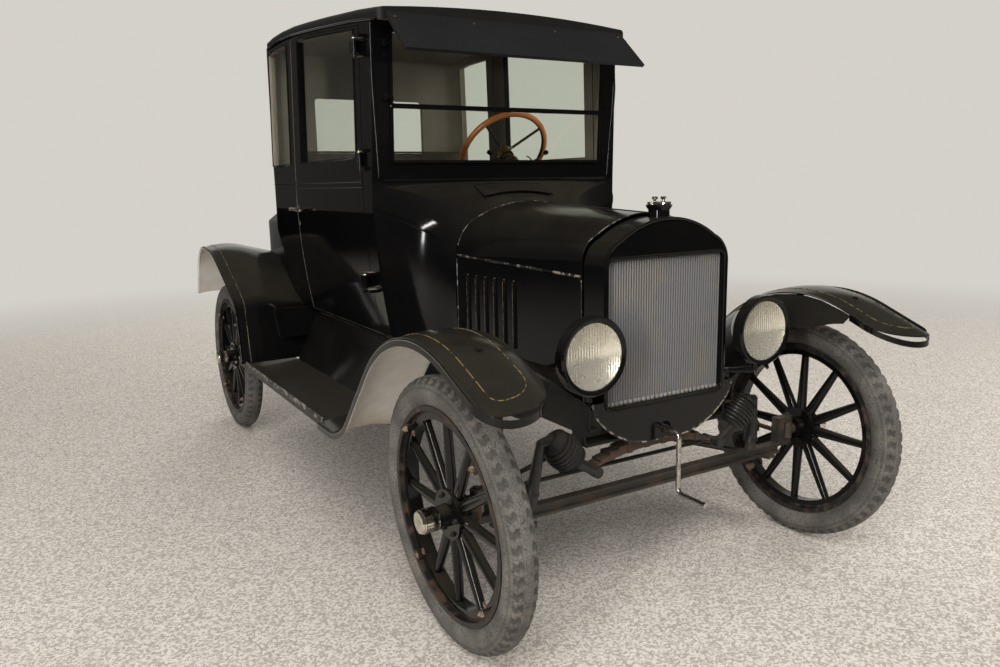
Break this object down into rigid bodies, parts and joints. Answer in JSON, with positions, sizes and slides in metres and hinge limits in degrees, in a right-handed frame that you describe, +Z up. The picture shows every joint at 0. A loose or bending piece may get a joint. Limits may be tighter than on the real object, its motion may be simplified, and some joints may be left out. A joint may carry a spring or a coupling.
{
  "type": "1920s vintage car",
  "caption": "Closed two-door car of the 1920s in black, on wooden-spoked wheels, with opening doors, hood and rear deck, steering front wheels and a starting crank.",
  "frame": {"origin": "on the ground, on the centre line, midway between the axles", "axes": "+Z up, -Y to the front, +X to the car's left"},
  "size_m": [1.67, 3.3435, 2.0038],
  "materials": {
    "body_black": "old gloss enamel",
    "frame_black": "satin black with dust",
    "roof_black": "coated fabric",
    "visor_black": "coated fabric",
    "worn_iron": "greasy black iron with rust",
    "rusty_spring": "rusty",
    "radiator_grey": "dull grey fins",
    "nickel": "worn nickel plate",
    "bare_steel": "bare steel",
    "clear_glass": "clear",
    "lens_glass": "fluted clear",
    "floor_wood": "old boards",
    "seat_cloth": "grey-brown cloth",
    "rim_wood": "brown varnished rim",
    "tyre_rubber": "weathered grey",
    "wheel_black": "black gloss paint"
  },
  "bodies": {
    "car": {"chassis_frame": "frame_black", "front_axle": "worn_iron", "leaf_springs": "rusty_spring", "shock_absorbers": "worn_iron", "rear_axle": "worn_iron", "engine": "worn_iron", "exhaust": "rusty_spring", "radiator_core": "radiator_grey", "radiator_shell": "body_black", "radiator_cap": "nickel", "cowl": "body_black", "body_shell": "body_black", "roof": "roof_black", "fixed_glass": "clear_glass", "body_floor": "floor_wood", "seat": "seat_cloth", "rear_deck": "body_black", "visor": "visor_black", "front_fenders": "body_black", "rear_fenders": "body_black", "splash_aprons": "body_black", "running_boards": "frame_black", "lamps": "body_black", "lamp_lenses": "lens_glass", "steering_column": "frame_black", "controls": "frame_black"},
    "knuckle_left": {"knuckle_left": "worn_iron"},
    "knuckle_right": {"knuckle_right": "worn_iron"},
    "wheel_front_left": {"wheel_front_left": "wheel_black", "tyre_front_left": "tyre_rubber"},
    "wheel_front_right": {"wheel_front_right": "wheel_black", "tyre_front_right": "tyre_rubber"},
    "wheel_rear_left": {"wheel_rear_left": "wheel_black", "tyre_rear_left": "tyre_rubber"},
    "wheel_rear_right": {"wheel_rear_right": "wheel_black", "tyre_rear_right": "tyre_rubber"},
    "tie_rod": {"tie_rod": "worn_iron"},
    "pitman_arm": {"pitman_arm": "worn_iron"},
    "steering_wheel": {"steering_wheel": "rim_wood"},
    "door_left": {"door_left": "body_black", "door_glass_left": "clear_glass"},
    "door_right": {"door_right": "body_black", "door_glass_right": "clear_glass"},
    "hood_top_left": {"hood_top_left": "body_black"},
    "hood_top_right": {"hood_top_right": "body_black"},
    "hood_side_left": {"hood_side_left": "body_black"},
    "hood_side_right": {"hood_side_right": "body_black"},
    "deck_lid": {"deck_lid": "body_black"},
    "starting_crank": {"starting_crank": "bare_steel"}
  },
  "joints": [
    {"name": "steer_left", "type": "hinge", "parent": "car", "child": "knuckle_left", "pos_m": [0.641, -1.27, 0.39], "axis": [0, 0, 1], "range_deg": [-30, 30]},
    {"name": "spin_front_left", "type": "hinge", "parent": "knuckle_left", "child": "wheel_front_left", "pos_m": [0.711, -1.27, 0.38718], "axis": [0.999, 0, -0.0436], "continuous": true},
    {"name": "spin_rear_left", "type": "hinge", "parent": "car", "child": "wheel_rear_left", "pos_m": [0.711, 1.27, 0.3875], "axis": [1, 0, 0], "continuous": true},
    {"name": "door_left", "type": "hinge", "parent": "car", "child": "door_left", "pos_m": [0.56, -0.3, 1.372], "axis": [0, 0, -1], "range_deg": [0, 70]},
    {"name": "hood_top_left", "type": "hinge", "parent": "car", "child": "hood_top_left", "pos_m": [0, -1.236, 1.1805], "axis": [0, -0.999, -0.0443], "range_deg": [0, 70]},
    {"name": "hood_side_left", "type": "hinge", "parent": "hood_top_left", "child": "hood_side_left", "pos_m": [0.2465, -1.236, 1.002], "axis": [-0.0898, -0.9953, -0.0368], "range_deg": [0, 100]},
    {"name": "steer_right", "type": "hinge", "parent": "car", "child": "knuckle_right", "pos_m": [-0.641, -1.27, 0.39], "axis": [0, 0, 1], "range_deg": [-30, 30]},
    {"name": "spin_front_right", "type": "hinge", "parent": "knuckle_right", "child": "wheel_front_right", "pos_m": [-0.711, -1.27, 0.38718], "axis": [0.999, 0, 0.0436], "continuous": true},
    {"name": "spin_rear_right", "type": "hinge", "parent": "car", "child": "wheel_rear_right", "pos_m": [-0.711, 1.27, 0.3875], "axis": [1, 0, 0], "continuous": true},
    {"name": "door_right", "type": "hinge", "parent": "car", "child": "door_right", "pos_m": [-0.56, -0.3, 1.372], "axis": [0, 0, 1], "range_deg": [0, 70]},
    {"name": "hood_top_right", "type": "hinge", "parent": "car", "child": "hood_top_right", "pos_m": [0, -1.236, 1.1805], "axis": [0, 0.999, 0.0443], "range_deg": [0, 70]},
    {"name": "hood_side_right", "type": "hinge", "parent": "hood_top_right", "child": "hood_side_right", "pos_m": [-0.2465, -1.236, 1.002], "axis": [-0.0898, 0.9953, 0.0368], "range_deg": [0, 100]},
    {"name": "tie_rod_pivot", "type": "hinge", "parent": "knuckle_right", "child": "tie_rod", "pos_m": [-0.641, -1.125, 0.36], "axis": [0, 0, 1], "range_deg": [-30, 30]},
    {"name": "pitman_turn", "type": "hinge", "parent": "car", "child": "pitman_arm", "pos_m": [0.234, -1.017, 0.56], "axis": [0.0467, 0.7935, 0.6068], "range_deg": [-30, 30]},
    {"name": "steering_turn", "type": "hinge", "parent": "car", "child": "steering_wheel", "pos_m": [0.3, 0.105, 1.418], "axis": [0.0467, 0.7935, 0.6068], "range_deg": [-120, 120]},
    {"name": "deck_lid_lift", "type": "hinge", "parent": "car", "child": "deck_lid", "pos_m": [0, 1.03, 1.1705], "axis": [1, 0, 0], "range_deg": [0, 60]},
    {"name": "crank_turn", "type": "hinge", "parent": "car", "child": "starting_crank", "pos_m": [0, -1.395, 0.524], "axis": [0, 1, 0], "continuous": true}
  ],
  "couplings": [
    {"joint": "steer_left", "follows": "steer_right", "ratio": 1},
    {"joint": "tie_rod_pivot", "follows": "steer_right", "ratio": -1},
    {"joint": "pitman_turn", "follows": "steer_right", "ratio": 1},
    {"joint": "steering_turn", "follows": "steer_right", "ratio": 4}
  ]
}
